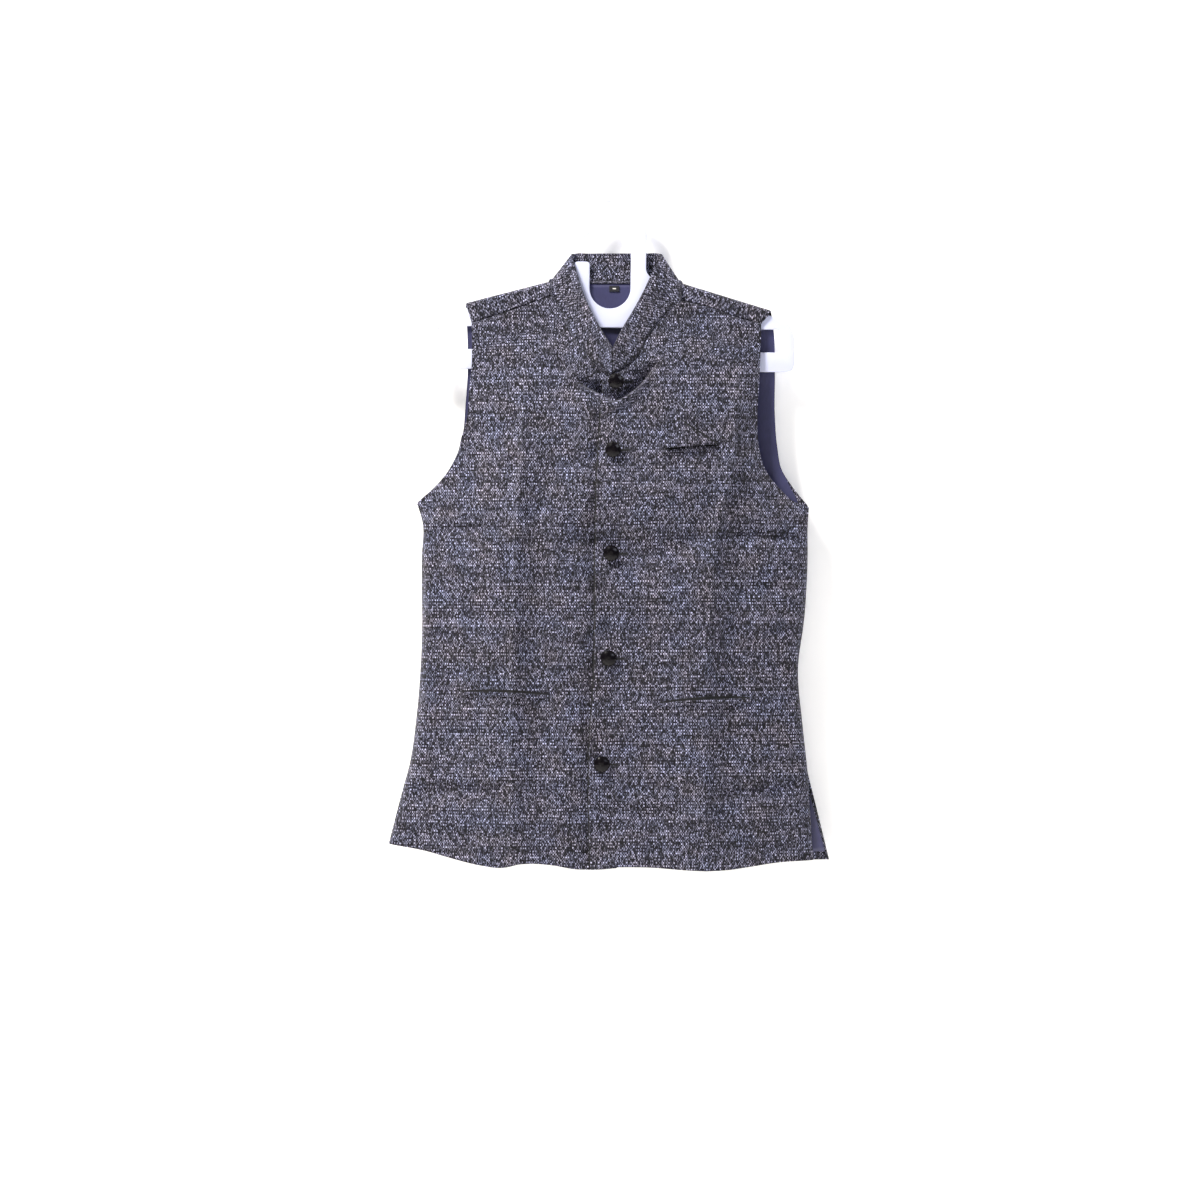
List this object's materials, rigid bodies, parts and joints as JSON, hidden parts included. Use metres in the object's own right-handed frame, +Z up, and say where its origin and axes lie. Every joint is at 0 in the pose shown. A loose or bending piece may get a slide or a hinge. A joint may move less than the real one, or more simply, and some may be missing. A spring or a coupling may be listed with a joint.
{
  "type": "nehru jacket on a hanger",
  "caption": "Sleeveless nehru jacket in a dark flecked tweed, buttoned up under a band collar, hanging flat on a white plastic plate hanger with an open hook.",
  "frame": {"origin": "inner top of the hanger's hook, where the rod or nail bears, in the middle of the plate's thickness", "axes": "+Z up, +X to the wearer's left, the jacket's front faces -Y and its back the wall at +Y"},
  "size_m": [0.529, 0.0635, 0.8175],
  "materials": {
    "tweed": "slubbed plain weave in charcoal navy with pale grey flecks, matt",
    "lining": "dark navy satin lining with a soft sheen",
    "button": "black-brown faceted resin, polished",
    "label": "black woven tape, matt, with a plain pale patch",
    "hanger_plastic": "white moulded plastic with a soft gloss"
  },
  "bodies": {
    "root": {"front_right": "tweed", "front_left": "tweed", "back": "tweed", "back_lining": "lining", "collar": "tweed", "chest_welt": "tweed", "pocket_square": "tweed", "pocket_jet_right": "tweed", "pocket_jet_left": "tweed", "button_1": "button", "button_2": "button", "button_3": "button", "button_4": "button", "button_5": "button", "neck_label": "label", "hanger": "hanger_plastic"}
  },
  "joints": []
}
